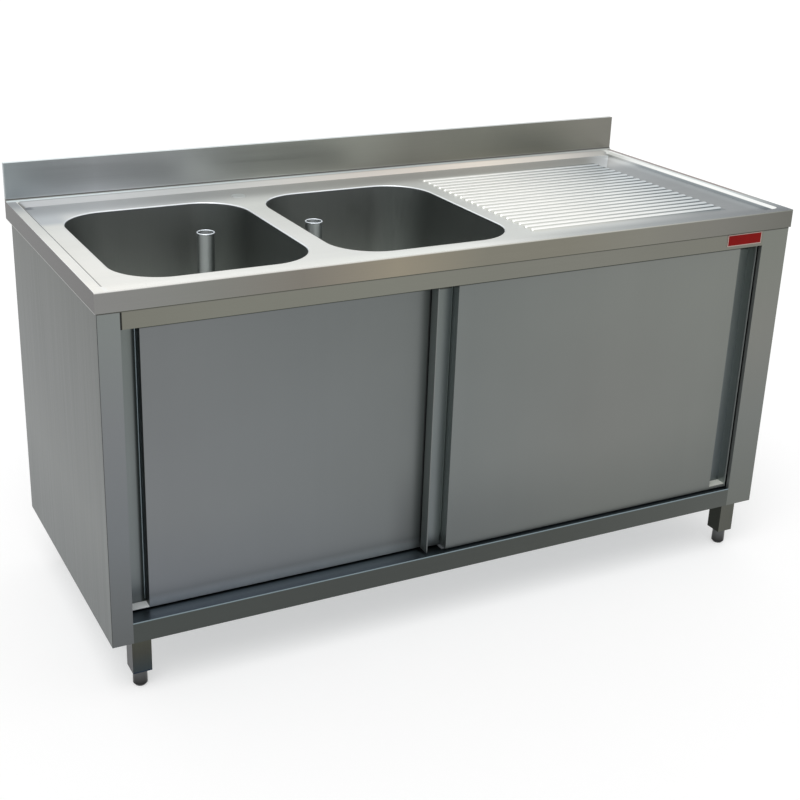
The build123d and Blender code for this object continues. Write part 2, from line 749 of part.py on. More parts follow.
# ---------------------------------------------------------------- all pieces
def build():
    save("worktop", worktop())
    save("upstand_end_left", upstand_end(left))
    save("upstand_end_right", upstand_end(right - deck_sheet))
    save("drainer_board", drainer_board())
    save("tap_hole_plug", tap_hole_plug())
    save("tap_hole_nut", tap_hole_nut())
    for side in ("left", "right"):
        save(f"bowl_{side}", bowl(side))
        save(f"waste_body_{side}", waste_body(side))
        save(f"waste_seal_{side}", waste_seal(side))
        save(f"waste_nut_{side}", waste_nut(side))
        save(f"standpipe_{side}", standpipe(side))
        save(f"side_panel_{side}", side_panel(side))
    save("back_panel", back_panel())
    save("base_shelf", base_shelf())
    save("base_stiffener", base_stiffener())
    save("front_top_rail", front_top_rail())
    save("rear_top_rail", rear_top_rail())
    save("name_plate", name_plate())
    for name, (x, y) in leg_places().items():
        save(f"leg_{name}", leg(x, y))
        save(f"foot_{name}", foot(x, y))
    save("leg_inserts", *[leg_insert(x, y) for x, y in leg_places().values()])
    save("door_track", door_track())
    save("track_buffers", *track_buffers())
    save("door_guide", door_guide())
    for side in ("left", "right"):
        save(f"{side}_door_skin", door_skin(side))
        save(f"{side}_door_liner", door_liner(side))
        save(f"{side}_door_core", door_core(side))
        save(f"{side}_door_guide_channel", door_guide_channel(side))
        centres = hanger_centres(side)
        save(f"{side}_door_hangers", *[door_hanger(side, x) for x in centres])
        save(f"{side}_door_axles", *[door_axle(side, x) for x in centres])
        save(f"{side}_door_screws", *[hanger_screw(x, y) for x, y in screw_places(side)])
        for place, x in zip(("outer", "inner") if side == "left" else ("inner", "outer"), centres):
            save(f"{side}_door_roller_{place}", door_roller(side, x))


build()
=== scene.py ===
import json
import math

import bpy
from mathutils import Matrix, Vector


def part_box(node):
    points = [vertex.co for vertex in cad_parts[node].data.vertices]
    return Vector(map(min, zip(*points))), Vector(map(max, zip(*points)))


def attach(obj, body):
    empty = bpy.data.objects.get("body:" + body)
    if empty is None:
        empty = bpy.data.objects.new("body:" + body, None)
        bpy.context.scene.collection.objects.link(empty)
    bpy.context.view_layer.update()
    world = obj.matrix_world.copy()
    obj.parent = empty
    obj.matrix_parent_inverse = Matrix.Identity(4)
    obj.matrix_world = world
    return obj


# Looks of the stainless steel sink unit: every CAD node keeps its shape and gets a
# procedural material, and a few thin trims are added in mesh code. Metres throughout.
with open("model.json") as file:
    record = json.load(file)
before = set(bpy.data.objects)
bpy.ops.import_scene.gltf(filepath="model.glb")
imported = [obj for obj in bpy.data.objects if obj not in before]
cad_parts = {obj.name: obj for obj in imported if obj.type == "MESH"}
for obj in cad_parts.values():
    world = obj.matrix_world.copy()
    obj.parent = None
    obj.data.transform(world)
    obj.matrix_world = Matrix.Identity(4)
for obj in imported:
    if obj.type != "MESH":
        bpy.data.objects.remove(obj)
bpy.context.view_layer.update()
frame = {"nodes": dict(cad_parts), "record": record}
nodes = frame["nodes"]


# ---------------------------------------------------------------- camera
def make_camera():
    """The photograph's own view: place, turn, lens and the off-centre framing."""
    azimuth, elevation, roll = (math.radians(a) for a in (26.387, 21.293, 1.319))
    forward = Vector((math.sin(azimuth) * math.cos(elevation),
                      math.cos(azimuth) * math.cos(elevation), -math.sin(elevation)))
    level = Vector((math.cos(azimuth), -math.sin(azimuth), 0))
    upright = level.cross(forward)
    right = level * math.cos(roll) + upright * math.sin(roll)
    up = upright * math.cos(roll) - level * math.sin(roll)
    camera = bpy.data.objects.new("camera", bpy.data.cameras.new("camera"))
    bpy.context.scene.collection.objects.link(camera)
    turn = Matrix((right, up, -forward)).transposed().to_4x4()
    camera.matrix_world = Matrix.Translation((-1.3793, -2.5296, 1.5826)) @ turn
    camera.data.sensor_width = 36.0
    camera.data.lens = 60.045
    camera.data.shift_x, camera.data.shift_y = 0.0625, -0.0375
    camera.data.clip_end = 100
    bpy.context.scene.camera = camera


# ---------------------------------------------------------------- material tools
def tone(red, green, blue):
    """A display colour, 0 to 255, as the linear colour that Blender mixes."""
    def linear(v):
        v /= 255
        return v / 12.92 if v <= 0.04045 else ((v + 0.055) / 1.055) ** 2.4
    return (linear(red), linear(green), linear(blue), 1)


class Paint:
    """One material's node tree, with short names for the nodes that it is made of."""

    def __init__(self, name):
        self.material = bpy.data.materials.new(name)
        self.material.use_nodes = True
        self.tree = self.material.node_tree
        self.shader = self.tree.nodes["Principled BSDF"]
        place = self.add("ShaderNodeTexCoord")
        self.place = place.outputs["Object"]
        self.x, self.y, self.z = self.split(self.place)
        self.nx, self.ny, self.nz = self.split(place.outputs["Normal"])

    def add(self, kind, **settings):
        made = self.tree.nodes.new(kind)
        for name, value in settings.items():
            setattr(made, name, value)
        return made

    def feed(self, socket, value):
        if isinstance(value, bpy.types.NodeSocket):
            self.tree.links.new(value, socket)
        elif socket.type == "VECTOR":
            socket.default_value = value[:3]
        else:
            socket.default_value = value

    def split(self, vector):
        made = self.add("ShaderNodeSeparateXYZ")
        self.feed(made.inputs[0], vector)
        return made.outputs

    def sum(self, operation, first, second=0.0):
        made = self.add("ShaderNodeMath", operation=operation)
        self.feed(made.inputs[0], first)
        self.feed(made.inputs[1], second)
        return made.outputs[0]

    def step(self, value, low, high):
        """0 below low and 1 above high, with a smooth change between them."""
        made = self.add("ShaderNodeMapRange", interpolation_type="SMOOTHSTEP")
        self.feed(made.inputs["Value"], value)
        if low > high:
            made.inputs["To Min"].default_value, made.inputs["To Max"].default_value = 1, 0
            low, high = high, low
        made.inputs["From Min"].default_value, made.inputs["From Max"].default_value = low, high
        return made.outputs[0]

    def faces_left(self):
        return self.step(self.nx, -0.5, -0.8)

    def faces_front(self):
        return self.step(self.ny, -0.5, -0.8)

    def faces_up(self):
        return self.step(self.nz, 0.5, 0.9)

    def both(self, *masks):
        """Where all masks hold."""
        result = masks[0]
        for mask in masks[1:]:
            result = self.sum("MULTIPLY", result, mask)
        return result

    def blend(self, amount, first, second):
        """A number between two others."""
        made = self.add("ShaderNodeMix", data_type="FLOAT")
        self.feed(made.inputs[0], amount)
        self.feed(made.inputs[2], first)
        self.feed(made.inputs[3], second)
        return made.outputs[0]

    def mix(self, amount, first, second):
        """A colour between two others."""
        made = self.add("ShaderNodeMix", data_type="RGBA")
        self.feed(made.inputs[0], amount)
        self.feed(made.inputs[6], first)
        self.feed(made.inputs[7], second)
        return made.outputs[2]

    def ramp(self, value, low, high, *stops):
        """A colour that runs through evenly spaced stops as value goes from low to high."""
        share = self.add("ShaderNodeMapRange")
        self.feed(share.inputs["Value"], value)
        share.inputs["From Min"].default_value, share.inputs["From Max"].default_value = low, high
        made = self.add("ShaderNodeValToRGB")
        self.feed(made.inputs[0], share.outputs[0])
        while len(made.color_ramp.elements) < len(stops):
            made.color_ramp.elements.new(0.5)
        # all places first, because Blender sorts the stops by place
        for index in range(len(stops)):
            made.color_ramp.elements[index].position = index / (len(stops) - 1)
        for index, stop in enumerate(stops):
            made.color_ramp.elements[index].color = stop
        return made.outputs[0]

    def noise(self, stretch, detail=2.0, scale=1.0):
        """Noise whose lumps are 1 / stretch metres long on each axis."""
        mapping = self.add("ShaderNodeMapping")
        self.feed(mapping.inputs["Vector"], self.place)
        mapping.inputs["Scale"].default_value = stretch
        made = self.add("ShaderNodeTexNoise")
        self.feed(made.inputs["Vector"], mapping.outputs[0])
        made.inputs["Scale"].default_value = scale
        made.inputs["Detail"].default_value = detail
        return made.outputs[0]

    def scaled(self, value, low, high):
        """Noise turned into a factor that mostly runs from low to high."""
        made = self.add("ShaderNodeMapRange")
        self.feed(made.inputs["Value"], value)
        made.inputs["From Min"].default_value, made.inputs["From Max"].default_value = 0.25, 0.75
        made.inputs["To Min"].default_value, made.inputs["To Max"].default_value = low, high
        return made.outputs[0]

    def times(self, colour, factor):
        """A colour made brighter or darker."""
        made = self.add("ShaderNodeVectorMath", operation="SCALE")
        self.feed(made.inputs[0], colour)
        self.feed(made.inputs["Scale"], factor)
        return made.outputs[0]

    def finish(self, colour, metallic, roughness, height=None, strength=0.1, distance=0.001):
        self.feed(self.shader.inputs["Base Color"], colour)
        self.feed(self.shader.inputs["Roughness"], roughness)
        self.feed(self.shader.inputs["Metallic"], metallic)
        if height is not None:
            bump = self.add("ShaderNodeBump")
            bump.inputs["Strength"].default_value = strength
            bump.inputs["Distance"].default_value = distance
            self.feed(bump.inputs["Height"], height)
            self.feed(self.shader.inputs["Normal"], bump.outputs[0])
        return self.material


def brushed(paint, colour, grain, roughness=0.36, clouds=0.05, lines=0.05, metallic=1.0):
    """Finish a steel: clouding, fine brush lines along one axis and a faint relief."""
    line = [2.5 if axis == grain else 420.0 for axis in "xyz"]
    streak = [0.9 if axis == grain else 26.0 for axis in "xyz"]
    fine = paint.noise(line, 3.0)
    soft = paint.noise(streak, 2.0)
    cloud = paint.noise((3.1, 3.1, 3.1), 3.0)
    colour = paint.times(colour, paint.scaled(fine, 1 - lines, 1 + lines))
    colour = paint.times(colour, paint.scaled(soft, 1 - lines / 2, 1 + lines / 2))
    colour = paint.times(colour, paint.scaled(cloud, 1 - clouds, 1 + clouds))
    rough = paint.scaled(fine, roughness - 0.04, roughness + 0.04)
    return paint.finish(colour, metallic, rough, fine, 0.06, 0.0003)


# ---------------------------------------------------------------- steels
SPLASHBACK = 0.085                              # height above the rim
LEFT, RIGHT = -0.8, 0.8                         # ends of the worktop
FORE, AFT = -0.35, 0.35                         # front and rear of the worktop
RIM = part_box("worktop")[1].z - SPLASHBACK       # the worktop's rim
DECK = RIM - 0.009                              # the sunk deck
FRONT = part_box("worktop")[0].y
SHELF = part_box("base_shelf")[1].z
PANEL_FOOT, PANEL_TOP = 0.13, 0.81              # heights between which the panels' colours run
DOORS_START, DOORS_END = -0.75, 0.72            # the two doors together, left to right
FRONT_DOOR, REAR_DOOR = -0.335, -0.3075         # y of the two doors' faces
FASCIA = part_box("front_top_rail")[0]
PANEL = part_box("side_panel_left")[0]
RIBS = (0.167, 0.679)                           # the drainer's ribs, end to end
PULL = 0.048                                    # width of a door's finger channel
PULL_DEPTH = 0.0243                             # door's face to the channel's floor
CHANNEL_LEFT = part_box("left_door_skin")[0].y + PULL_DEPTH
CHANNEL_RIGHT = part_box("right_door_skin")[0].y + PULL_DEPTH
INSIDE = tone(150, 154, 153)                    # steel inside the cupboard


def deck_colour(p):
    """The sunk deck and the rim, in tones of painted reflection: near white at the front left, greyer
    by the wall and the drainer.
    """
    front = p.ramp(p.x, LEFT, RIGHT, tone(246, 245, 239), tone(239, 239, 235), tone(233, 234, 229),
                   tone(232, 235, 230), tone(233, 234, 230), tone(186, 190, 188), tone(148, 154, 155),
                   tone(114, 120, 123), tone(85, 91, 95))
    middle = p.ramp(p.x, LEFT, RIGHT, tone(238, 238, 233), tone(234, 235, 230), tone(226, 228, 224),
                    tone(222, 224, 221), tone(212, 215, 211), tone(206, 209, 206), tone(190, 194, 193),
                    tone(129, 134, 136), tone(115, 121, 124))
    rear = p.ramp(p.x, LEFT, RIGHT, tone(178, 182, 185), tone(183, 186, 187), tone(172, 174, 173),
                  tone(168, 169, 167), tone(170, 170, 166), tone(175, 175, 171), tone(184, 183, 178),
                  tone(178, 179, 176), tone(163, 166, 166))
    # painted light: the rear tones are brighter away from the wall
    rear = p.times(rear, p.blend(p.step(p.y, 0.19, 0.28), 1.3, 1.0))
    on_rim = p.step(p.z, RIM - 0.0025, RIM - 0.0015)
    colour = p.mix(p.step(p.y, -0.27, -0.31), middle, front)
    # painted reflection of the wall near it, paler away from the wall; the change lies further back at
    # the left end, and on the rim
    near = p.blend(p.step(p.x, -0.73, -0.69), p.step(p.y, 0.17, 0.13), p.step(p.y, 0.262, 0.15))
    near = p.blend(on_rim, near, p.step(p.y, 0.3, 0.2))
    rim = p.ramp(p.y, 0.18, 0.33, tone(214, 217, 215), tone(196, 199, 200), tone(172, 175, 178))
    colour = p.mix(near, p.mix(on_rim, rear, rim), colour)
    # a painted highlight on a band across the middle of the deck, off the rim
    between = p.both(p.step(p.y, -0.03, 0.08), p.step(p.y, 0.26, 0.2), p.step(on_rim, 1.0, 0.9))
    colour = p.times(colour, p.blend(between, 1.0, 1.13))
    # a painted reflection on the right rim, dark at the front and white at the rear
    right_rim_reflection = p.both(on_rim, p.step(p.x, 0.76, 0.775))
    return p.mix(right_rim_reflection, colour, p.ramp(p.y, FORE, AFT, tone(70, 78, 86), tone(214, 224, 223),
                                           tone(206, 213, 211), tone(250, 252, 249)))


def deck_painted_light(p, deck):
    """Painted light on the deck: a painted reflection of the wall, painted shade in the deep corner and
    along the left step, and thin painted highlights on edges of the rim.
    """
    # painted reflection of the wall on the deck at the right rear
    off = p.sum("ADD", p.sum("MULTIPLY", p.x, -0.79), p.sum("MULTIPLY", p.y, 0.61))
    wall_reflection = p.both(p.step(off, -0.4265, -0.4245), p.step(off, -0.36, -0.415), p.step(p.y, 0.17, 0.2),
                   p.step(p.x, 0.6, 0.66), p.step(p.z, DECK + 0.001, DECK + 0.0002))
    deck = p.mix(wall_reflection, deck, tone(222, 227, 230))
    # painted shade in the deep rear-left corner
    corner = p.both(p.step(p.x, -0.748, -0.758), p.step(p.y, 0.282, 0.293),
                    p.step(p.z, RIM - 0.001, RIM - 0.003))
    deck = p.mix(corner, deck, tone(128, 132, 138))
    # painted shade along the foot of the left step
    left_step_shade = p.both(p.step(p.nx, 0.15, 0.35), p.step(p.z, DECK + 0.0002, DECK + 0.0008),
                       p.step(p.z, RIM - 0.0002, RIM - 0.0006), p.step(p.ny, -0.35, -0.2))
    deck = p.mix(left_step_shade, deck, tone(140, 138, 132))
    # thin painted highlights along the rim's inner edge and its outer left edge
    top = p.both(p.step(p.nz, 0.985, 0.995), p.step(p.z, RIM - 0.0004, RIM - 0.0002))
    inner = p.both(top, p.step(p.x, -0.7808, -0.7802), p.step(p.x, -0.77, -0.775))
    outer = p.both(top, p.step(p.x, -0.798, -0.7988), p.step(p.y, 0.2, 0.12))
    deck = p.mix(inner, deck, tone(246, 247, 244))
    return p.mix(outer, deck, tone(254, 254, 252))


def drainer_colour(p, deck):
    """Rib crowns and front sides with a painted highlight, between grooves greyed with painted shade
    that grows towards the right.
    """
    field = p.both(p.step(p.x, RIBS[0] - 0.006, RIBS[0] + 0.004), p.step(p.x, RIBS[1] + 0.003, RIBS[1]),
                   p.step(p.y, 0.245, 0.235), p.step(p.y, -0.275, -0.265))
    # painted shade in the grooves, darker towards the right
    deck = p.mix(field, deck, p.ramp(p.x, RIBS[0], RIBS[1], tone(208, 210, 204), tone(196, 198, 194),
                                     tone(158, 163, 163), tone(98, 106, 110)))
    # painted highlight on the rib crowns and their front sides
    crown_highlight = p.both(field, p.step(p.z, DECK + 0.0003, DECK + 0.0012),
                   p.step(p.z, RIM - 0.002, RIM - 0.004), p.step(p.ny, 0.55, 0.25),
                   p.step(p.nx, -0.55, -0.25))
    return p.mix(crown_highlight, deck, p.ramp(p.x, RIBS[0], RIBS[1], tone(253, 253, 250), tone(250, 250, 246),
                                     tone(236, 238, 236), tone(196, 203, 206)))


def slope_colour(p, deck):
    """The pressed slopes, told apart by the way they face with painted light: a painted reflection on
    the rear slope, a painted highlight on the right slope and on the deck at the right end of the rear
    slope's foot, and a brown line along the right rim.
    """
    # painted reflection on the rear slope, with painted shade near its top
    rear = p.ramp(p.x, LEFT, RIGHT, tone(206, 208, 210), tone(206, 208, 208), tone(208, 210, 209),
                  tone(216, 215, 212), tone(226, 221, 215), tone(238, 230, 221), tone(253, 244, 233),
                  tone(236, 231, 224), tone(184, 185, 182))
    rear = p.mix(p.step(p.z, RIM - 0.0016, RIM - 0.0009), rear, p.times(rear, 0.82))
    rear_slope = p.both(p.step(p.nz, 0.985, 0.95), p.step(p.ny, -0.2, -0.35), p.step(p.nz, 0.3, 0.5),
                        p.step(p.y, 0.3, 0.305))
    deck = p.mix(rear_slope, deck, rear)
    # painted highlight on the deck at the right end of the rear slope's foot
    foot = p.both(p.step(p.x, 0.728, 0.762), p.step(p.z, DECK + 0.004, DECK + 0.003),
                  p.step(p.y, 0.29, 0.27))
    deck = p.times(deck, p.blend(foot, 1.0, 1.45))
    # painted highlight on the right slope, which faces left
    slope = p.both(p.step(p.nz, 0.985, 0.95), p.step(p.nz, 0.3, 0.5))
    right = p.both(slope, p.step(p.nx, -0.3, -0.5), p.step(p.z, DECK + 0.003, DECK + 0.0045))
    deck = p.mix(right, deck, tone(250, 252, 250))
    brown = p.both(p.step(p.x, 0.7865, 0.7905), p.step(p.z, RIM - 0.006, RIM - 0.003),
                   p.step(p.z, RIM + 0.001, RIM + 0.0005), p.step(p.y, -0.3, -0.12))
    return p.mix(brown, deck, tone(130, 116, 112))


def bowl_edge_colour(p, deck):
    """The rolled edges of the bowls: a painted highlight on the crest and painted shade in the throat.
    """
    roll = p.both(p.step(p.z, DECK - 0.0001, DECK - 0.0004), p.step(p.nz, 0.1, 0.25))
    deck = p.mix(roll, deck, tone(246, 251, 254))
    throat = p.both(p.step(p.z, DECK - 0.0012, DECK - 0.0026), p.step(p.nz, 0.2, 0.05))
    return p.mix(throat, deck, tone(104, 109, 110))


def upstand_colour(p, deck):
    """The splashback, with painted shade in the cove at its foot and a painted highlight on its upper
    edge; the face's tones along its length are painted reflection.
    """
    face = p.ramp(p.x, LEFT, RIGHT, tone(156, 164, 168), tone(195, 199, 203), tone(170, 174, 175),
                  tone(176, 180, 174), tone(158, 160, 153), tone(138, 138, 131), tone(144, 144, 134),
                  tone(127, 127, 118), tone(124, 123, 116))
    high = p.step(p.z, RIM + 0.0001, RIM + 0.0003)
    deck = p.mix(high, deck, tone(78, 76, 73))
    # painted shade in the cove, in bands that lighten upwards to the face
    for low, colour in ((0.0014, tone(95, 95, 92)), (0.004, tone(80, 80, 76)), (0.006, face)):
        deck = p.mix(p.step(p.z, RIM + low - 0.0004, RIM + low + 0.0004), deck, colour)
    # painted highlight on the upper edge
    edge = p.both(high, p.faces_up())
    return p.mix(edge, deck, p.ramp(p.x, LEFT, RIGHT, tone(232, 242, 243), tone(206, 214, 214),
                                    tone(190, 194, 190)))


def apron_end(p):
    """Where a surface is the apron's narrow left side."""
    return p.both(p.faces_left(), p.step(p.z, RIM + 0.0005, RIM - 0.0005), p.step(p.x, -0.7, -0.75))


def apron_colour(p, deck):
    """The apron's front and left side, with a painted highlight on the upper bend, the left side in
    painted shade with a brownish line at its top, and a painted highlight on the hem below.
    """
    front = p.ramp(p.x, LEFT, RIGHT, tone(133, 133, 131), tone(127, 128, 123), tone(125, 121, 113),
                   tone(145, 138, 122), tone(127, 125, 114), tone(126, 124, 113), tone(129, 128, 119),
                   tone(122, 121, 115), tone(110, 110, 104))
    low = p.step(p.z, RIM + 0.0005, RIM - 0.0005)
    upright = p.both(p.step(p.nz, 0.5, 0.2), low, p.step(p.y, FRONT + 0.004, FRONT + 0.001))
    deck = p.mix(upright, deck, front)
    # painted highlight on the upper bend
    bend = p.both(p.step(p.z, RIM - 0.0035, RIM - 0.0008), low, upright)
    deck = p.mix(bend, deck, p.ramp(p.x, LEFT, RIGHT, tone(240, 240, 236), tone(227, 227, 221),
                                    tone(214, 214, 206), tone(190, 191, 184), tone(134, 137, 132)))
    # painted shade on the apron's left side, with a brownish line at its top
    end = p.both(p.step(p.nz, 0.5, 0.2), apron_end(p))
    deck = p.mix(end, deck, p.ramp(p.y, FORE, AFT, tone(40, 36, 31), tone(32, 30, 26),
                                   tone(36, 36, 34)))
    deck = p.mix(p.both(end, p.step(p.z, RIM - 0.0022, RIM - 0.0014)), deck, tone(58, 53, 47))
    # painted highlight on the hem along the foot of the left side
    return p.mix(p.both(end, p.step(p.z, RIM - 0.0385, RIM - 0.0392)), deck, tone(176, 178, 174))


def worktop_steel():
    """Polished where it is open, and satin by the wall, where it mirrors little light."""
    p = Paint("worktop_steel")
    deck = deck_colour(p)
    for paint in (deck_painted_light, drainer_colour, slope_colour, bowl_edge_colour, upstand_colour,
                  apron_colour):
        deck = paint(p, deck)
    below_wall = p.step(p.z, RIM + 0.008, RIM + 0.0074)
    metallic = p.blend(p.both(below_wall, p.step(p.y, 0.05, 0.2)), 1.0, 0.4)
    metallic = p.blend(p.both(below_wall, p.step(p.y, 0.3, 0.312)), metallic, 0.2)
    return brushed(p, deck, "x", 0.34, 0.03, 0.025, p.blend(apron_end(p), metallic, 0.0))


def bowl_steel():
    """Satin inside, painted brighter downwards so that the depth doesn't go black, and with painted
    shade on the walls that face left.
    """
    p = Paint("bowl_steel")
    depth = p.step(p.z, DECK, DECK - 0.25)
    others = p.mix(depth, tone(118, 122, 120), tone(182, 185, 181))
    right_wall_shade = p.mix(depth, tone(109, 114, 112), tone(156, 161, 157))
    colour = p.mix(p.step(p.nx, -0.05, -0.45), others, right_wall_shade)
    return brushed(p, colour, "z", 0.45, 0.05, 0.03)


def fitting_steel():
    """Standpipes and wastes: a painted highlight on the bead at the pipe's mouth, and below the rim a
    painted highlight on the side that faces front and left.
    """
    p = Paint("fitting_steel")
    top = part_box("standpipe_left")[1].z
    bead = p.both(p.step(p.z, top - 0.0032, top - 0.0022), p.step(p.z, top + 0.002, top + 0.001))
    body = p.step(p.z, RIM - 0.01, RIM - 0.015)
    # painted highlight on the tube's side that faces front and left
    facing = p.sum("ADD", p.sum("MULTIPLY", p.nx, -0.44), p.sum("MULTIPLY", p.ny, -0.9))
    tube = p.mix(p.step(facing, 0.55, 0.95), tone(150, 155, 155), tone(238, 244, 244))
    colour = p.mix(body, tone(206, 210, 210), tube)
    # painted highlight on the bead
    colour = p.mix(bead, colour, tone(240, 246, 252))
    return brushed(p, colour, "z", 0.45, 0.03, 0.02)


def panel_steel():
    """Side and back panels: the side, the folded fronts and the faces inside the cupboard; the side and
    the fronts carry painted reflection in tones that run by height.
    """
    p = Paint("panel_steel")
    side = p.ramp(p.z, PANEL_FOOT, PANEL_TOP, tone(88, 93, 93), tone(103, 107, 106), tone(95, 99, 98),
                  tone(86, 90, 87))
    left = p.ramp(p.z, PANEL_FOOT, PANEL_TOP, tone(100, 103, 104), tone(115, 119, 122),
                  tone(123, 126, 128), tone(125, 130, 128))
    right = p.ramp(p.z, PANEL_FOOT, PANEL_TOP, tone(108, 111, 107), tone(117, 120, 117),
                   tone(125, 126, 121), tone(123, 126, 119))
    front = p.mix(p.step(p.x, -0.1, 0.1), left, right)
    # painted shade on the fronts just under the apron
    front = p.mix(p.step(p.z, RIM - 0.0438, RIM - 0.0425), front, tone(78, 78, 74))
    # painted shade along the front's outer fold
    fold = p.step(p.x, PANEL.x + 0.0016, PANEL.x + 0.0008)
    front = p.mix(fold, front, tone(74, 77, 76))
    colour = p.mix(p.faces_front(), side, front)
    # the faces inside the cupboard, which mirror little light
    sides = p.sum("MAXIMUM", p.both(p.step(p.nx, 0.5, 0.8), p.step(p.x, -0.7, -0.75)),
                  p.both(p.faces_left(), p.step(p.x, 0.7, 0.75)))
    inside = p.sum("MAXIMUM", sides, p.both(p.faces_front(), p.step(p.y, 0.2, 0.25)))
    colour = p.mix(inside, colour, INSIDE)
    return brushed(p, colour, "z", 0.38, 0.025, 0.007, p.blend(inside, 1.0, 0.3))


def channel_floors(p):
    """Where a surface is the floor of a finger channel."""
    floors = [p.both(p.step(p.y, at - 0.0008, at - 0.0004), p.step(p.y, at + 0.0008, at + 0.0004))
              for at in (CHANNEL_LEFT, CHANNEL_RIGHT)]
    return p.both(p.sum("MAXIMUM", *floors), p.faces_front())


def door_face_colour(p, left_low, right_low):
    """The doors' broad faces, by height and from left to right in tones of painted reflection, with
    painted shadows on them.
    """
    low = p.ramp(p.x, DOORS_START, DOORS_END, tone(115, 119, 124), tone(113, 117, 120),
                 tone(107, 111, 111), tone(111, 114, 111), tone(111, 114, 111))
    middle = p.ramp(p.x, DOORS_START, DOORS_END, tone(120, 123, 125), tone(118, 122, 123),
                    tone(110, 114, 113), tone(122, 124, 121), tone(119, 122, 118))
    high = p.ramp(p.x, DOORS_START, DOORS_END, tone(117, 120, 121), tone(112, 116, 116),
                  tone(108, 112, 110), tone(122, 125, 121), tone(124, 127, 122))
    colour = p.mix(p.step(p.z, 0.18, 0.4), low, p.mix(p.step(p.z, 0.42, 0.75), middle, high))
    # painted light: the right door's near half is brighter above than the left door beside it
    own = p.both(p.step(p.y, REAR_DOOR - 0.002, REAR_DOOR - 0.003), p.step(p.x, 0.35, -0.05))
    colour = p.times(colour, p.blend(own, 1.0, p.blend(p.step(p.z, 0.2, 0.4), 0.94, 1.14)))
    # a painted highlight on the left door's foot
    left_door = p.step(p.y, REAR_DOOR - 0.001, REAR_DOOR)
    foot = p.step(p.z, left_low.z + 0.028, left_low.z)
    colour = p.times(colour, p.blend(foot, 1.0, p.blend(left_door, 1.0, 2.7)))
    # the left door in the shadow of the right one
    shadow = p.both(p.step(p.x, right_low.x - 0.03, right_low.x - 0.002),
                    p.step(p.x, right_low.x + 0.001, right_low.x),
                    p.step(p.y, REAR_DOOR, REAR_DOOR + 0.0005))
    colour = p.times(colour, p.blend(shadow, 1.0, 0.62))
    # painted shade low on the left door, beside the right one
    corner = p.both(p.step(p.x, right_low.x - 0.09, right_low.x - 0.02), p.step(p.x, 0.1, 0.05),
                    p.step(p.z, 0.42, 0.2), p.step(p.y, REAR_DOOR - 0.001, REAR_DOOR))
    return p.times(colour, p.blend(corner, 1.0, 0.68))


def channel_colour(p, colour, left_low, right_low):
    """Finger channels: a pale floor that painted shade darkens towards its inner wall, and the walls,
    painted in tones of light and shade.
    """
    floor = channel_floors(p)
    pale = p.ramp(p.z, 0.17, 0.8, tone(112, 118, 120), tone(118, 124, 124), tone(112, 118, 115))
    colour = p.mix(floor, colour, pale)
    # painted shade on the floor next to the inner wall
    left_dark = p.both(p.step(p.x, left_low.x + 0.036, left_low.x + 0.042), p.step(p.x, -0.6, -0.65))
    right_dark = p.both(p.step(p.x, right_low.x + 0.022, right_low.x + 0.043), p.step(p.x, 0.1, 0.05))
    dark = p.sum("MAXIMUM", left_dark, right_dark)
    deep = p.mix(p.step(p.x, -0.4, -0.3), tone(56, 61, 61), tone(98, 104, 104))
    colour = p.mix(p.both(floor, dark), colour, deep)
    # painted light and shade on surfaces that face left: channel walls and the lips of the right door
    wall = p.ramp(p.y, -0.336, -0.281, tone(92, 92, 88), tone(84, 87, 86), tone(78, 82, 82))
    wall = p.mix(p.step(p.x, -0.2, -0.15), wall, tone(156, 163, 162))
    return p.mix(p.faces_left(), colour, wall)


def door_steel():
    p = Paint("door_steel")
    left_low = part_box("left_door_skin")[0]
    right_low, right_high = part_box("right_door_skin")
    colour = door_face_colour(p, left_low, right_low)
    colour = channel_colour(p, colour, left_low, right_low)
    # plates that close the channels below, with a painted highlight, white on the left door
    plate = p.both(p.faces_up(), p.step(p.z, 0.4, 0.3))
    colour = p.mix(plate, colour,
                   p.mix(p.step(p.x, -0.2, 0.2), tone(250, 254, 254), tone(206, 208, 200)))
    # the shade under the fascia, deeper on the left door, which stands further back
    facing = p.faces_front()
    front = p.both(facing, p.step(p.y, FRONT_DOOR + 0.002, FRONT_DOOR + 0.0005))
    shade = p.blend(front, p.step(p.z, FASCIA.z - 0.0175, FASCIA.z - 0.0155),
                    p.step(p.z, FASCIA.z - 0.0068, FASCIA.z - 0.0052))
    colour = p.mix(p.both(shade, facing), colour, tone(70, 72, 68))
    # a painted highlight on the right door's outer lip
    lip = p.both(p.step(p.x, right_high.x - 0.0026, right_high.x - 0.0022),
                 p.step(p.y, FRONT_DOOR + 0.001, FRONT_DOOR))
    colour = p.mix(lip, colour, tone(120, 126, 124))
    metallic = p.blend(p.sum("MAXIMUM", plate, lip), 1.0, 0.0)
    return brushed(p, colour, "z", 0.4, 0.03, 0.015, metallic)


